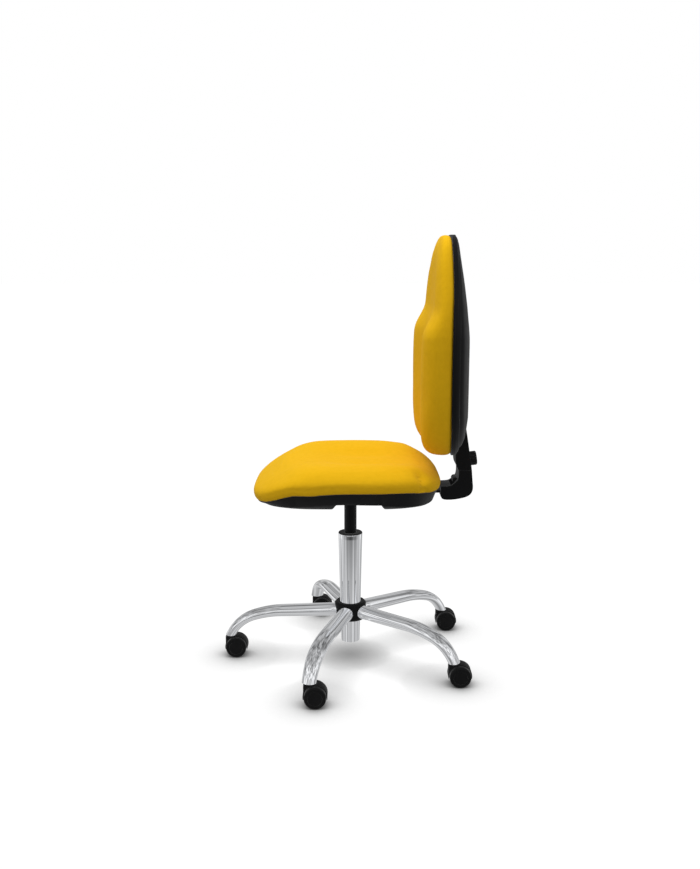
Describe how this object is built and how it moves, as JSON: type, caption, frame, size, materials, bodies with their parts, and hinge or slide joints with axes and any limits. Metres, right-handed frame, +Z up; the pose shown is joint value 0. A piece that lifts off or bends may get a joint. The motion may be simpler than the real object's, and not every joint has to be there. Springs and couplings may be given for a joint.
{
  "type": "office chair",
  "caption": "Castor-base task chair with a gas lift, a padded seat and a padded high back on a tilting rear bracket.",
  "frame": {"origin": "on the floor, under the middle of the column", "axes": "+Z up, the sitter faces -Y, +X is the sitter's left"},
  "size_m": [0.617, 0.6161, 1.03],
  "materials": {
    "chrome": "mirror-bright plating",
    "black_plastic": "fine-grained moulded plastic",
    "shell_plastic": "grained moulded plastic, satin",
    "wheel_plastic": "hard nylon, half gloss",
    "yellow_fabric": "flat woven upholstery cloth",
    "plywood": "raw plywood",
    "black_steel": "black powder coat",
    "steel": "zinc-plated"
  },
  "bodies": {
    "base": {"base_hub": "black_plastic", "base_arm_1": "chrome", "base_arm_2": "chrome", "base_arm_3": "chrome", "base_arm_4": "chrome", "base_arm_5": "chrome", "castor_sockets": "black_plastic", "column_tube": "chrome", "guide_bush": "black_plastic", "thrust_bearing": "steel"},
    "spindle": {"piston_rod": "steel", "rod_clip": "steel"},
    "lift": {"gas_cylinder": "black_steel", "mechanism_housing": "black_steel", "hinge_pins": "steel", "tilt_springs": "steel", "seat_board": "plywood", "seat_bolts": "steel", "seat_pan": "shell_plastic", "pan_screws": "steel", "seat_cushion": "yellow_fabric"},
    "release": {"release_button": "steel"},
    "gas_lever": {"gas_lever": "steel", "gas_lever_grip": "black_plastic"},
    "tilt_lever": {"tilt_lever": "steel", "tilt_lever_grip": "black_plastic"},
    "bracket": {"back_bar": "black_steel", "lower_cover": "black_plastic"},
    "back": {"back_sleeve": "black_plastic", "clamp_pad": "steel", "back_board": "plywood", "back_screws": "steel", "back_shell": "shell_plastic", "back_cushion": "yellow_fabric"},
    "knob": {"height_knob": "black_plastic"},
    "castor_1": {"castor_1_hood": "black_plastic", "castor_1_stem": "steel", "castor_1_axle": "steel"},
    "castor_1_left": {"castor_1_wheel_left": "wheel_plastic"},
    "castor_1_right": {"castor_1_wheel_right": "wheel_plastic"},
    "castor_2": {"castor_2_hood": "black_plastic", "castor_2_stem": "steel", "castor_2_axle": "steel"},
    "castor_2_left": {"castor_2_wheel_left": "wheel_plastic"},
    "castor_2_right": {"castor_2_wheel_right": "wheel_plastic"},
    "castor_3": {"castor_3_hood": "black_plastic", "castor_3_stem": "steel", "castor_3_axle": "steel"},
    "castor_3_left": {"castor_3_wheel_left": "wheel_plastic"},
    "castor_3_right": {"castor_3_wheel_right": "wheel_plastic"},
    "castor_4": {"castor_4_hood": "black_plastic", "castor_4_stem": "steel", "castor_4_axle": "steel"},
    "castor_4_left": {"castor_4_wheel_left": "wheel_plastic"},
    "castor_4_right": {"castor_4_wheel_right": "wheel_plastic"},
    "castor_5": {"castor_5_hood": "black_plastic", "castor_5_stem": "steel", "castor_5_axle": "steel"},
    "castor_5_left": {"castor_5_wheel_left": "wheel_plastic"},
    "castor_5_right": {"castor_5_wheel_right": "wheel_plastic"}
  },
  "joints": [
    {"name": "seat_swivel", "type": "hinge", "parent": "base", "child": "spindle", "pos_m": [0, 0, 0.058], "axis": [0, 0, 1], "continuous": true},
    {"name": "gas_lift", "type": "slide", "parent": "spindle", "child": "lift", "axis": [0, 0, 1], "range_m": [-0.08, 0.04]},
    {"name": "button_press", "type": "slide", "parent": "lift", "child": "release", "axis": [0, 0, -1], "range_m": [0, 0.003]},
    {"name": "gas_lever_turn", "type": "hinge", "parent": "lift", "child": "gas_lever", "pos_m": [-0.036, 0, 0.4303], "axis": [0, 1, 0], "range_deg": [0, 4.2], "stiffness_Nm_per_rad": 2},
    {"name": "tilt_lever_turn", "type": "hinge", "parent": "lift", "child": "tilt_lever", "pos_m": [-0.036, 0.048, 0.4303], "axis": [0, 1, 0], "range_deg": [0, 4]},
    {"name": "back_tilt", "type": "hinge", "parent": "lift", "child": "bracket", "pos_m": [0, 0.11, 0.424], "axis": [-1, 0, 0], "range_deg": [0, 20]},
    {"name": "back_height", "type": "slide", "parent": "bracket", "child": "back", "axis": [0, 0, 1], "range_m": [0, 0.06]},
    {"name": "knob_turn", "type": "hinge", "parent": "back", "child": "knob", "pos_m": [0, 0.2865, 0.5], "axis": [0, 0.9925, 0.1219], "continuous": true},
    {"name": "castor_1_swivel", "type": "hinge", "parent": "base", "child": "castor_1", "pos_m": [0, -0.297, 0.0535], "axis": [0, 0, 1], "continuous": true},
    {"name": "castor_1_left_roll", "type": "hinge", "parent": "castor_1", "child": "castor_1_left", "pos_m": [0, -0.2834, 0.025], "axis": [1, 0, 0], "continuous": true},
    {"name": "castor_1_right_roll", "type": "hinge", "parent": "castor_1", "child": "castor_1_right", "pos_m": [0, -0.2834, 0.025], "axis": [1, 0, 0], "continuous": true},
    {"name": "castor_2_swivel", "type": "hinge", "parent": "base", "child": "castor_2", "pos_m": [0.28246, -0.09178, 0.0535], "axis": [0, 0, 1], "continuous": true},
    {"name": "castor_2_left_roll", "type": "hinge", "parent": "castor_2", "child": "castor_2_left", "pos_m": [0.28246, -0.07818, 0.025], "axis": [1, 0, 0], "continuous": true},
    {"name": "castor_2_right_roll", "type": "hinge", "parent": "castor_2", "child": "castor_2_right", "pos_m": [0.28246, -0.07818, 0.025], "axis": [1, 0, 0], "continuous": true},
    {"name": "castor_3_swivel", "type": "hinge", "parent": "base", "child": "castor_3", "pos_m": [0.17457, 0.24028, 0.0535], "axis": [0, 0, 1], "continuous": true},
    {"name": "castor_3_left_roll", "type": "hinge", "parent": "castor_3", "child": "castor_3_left", "pos_m": [0.17457, 0.25388, 0.025], "axis": [1, 0, 0], "continuous": true},
    {"name": "castor_3_right_roll", "type": "hinge", "parent": "castor_3", "child": "castor_3_right", "pos_m": [0.17457, 0.25388, 0.025], "axis": [1, 0, 0], "continuous": true},
    {"name": "castor_4_swivel", "type": "hinge", "parent": "base", "child": "castor_4", "pos_m": [-0.17457, 0.24028, 0.0535], "axis": [0, 0, 1], "continuous": true},
    {"name": "castor_4_left_roll", "type": "hinge", "parent": "castor_4", "child": "castor_4_left", "pos_m": [-0.17457, 0.25388, 0.025], "axis": [1, 0, 0], "continuous": true},
    {"name": "castor_4_right_roll", "type": "hinge", "parent": "castor_4", "child": "castor_4_right", "pos_m": [-0.17457, 0.25388, 0.025], "axis": [1, 0, 0], "continuous": true},
    {"name": "castor_5_swivel", "type": "hinge", "parent": "base", "child": "castor_5", "pos_m": [-0.28246, -0.09178, 0.0535], "axis": [0, 0, 1], "continuous": true},
    {"name": "castor_5_left_roll", "type": "hinge", "parent": "castor_5", "child": "castor_5_left", "pos_m": [-0.28246, -0.07818, 0.025], "axis": [1, 0, 0], "continuous": true},
    {"name": "castor_5_right_roll", "type": "hinge", "parent": "castor_5", "child": "castor_5_right", "pos_m": [-0.28246, -0.07818, 0.025], "axis": [1, 0, 0], "continuous": true}
  ],
  "couplings": [
    {"joint": "button_press", "follows": "gas_lever_turn", "m_per_rad": 0.036}
  ]
}
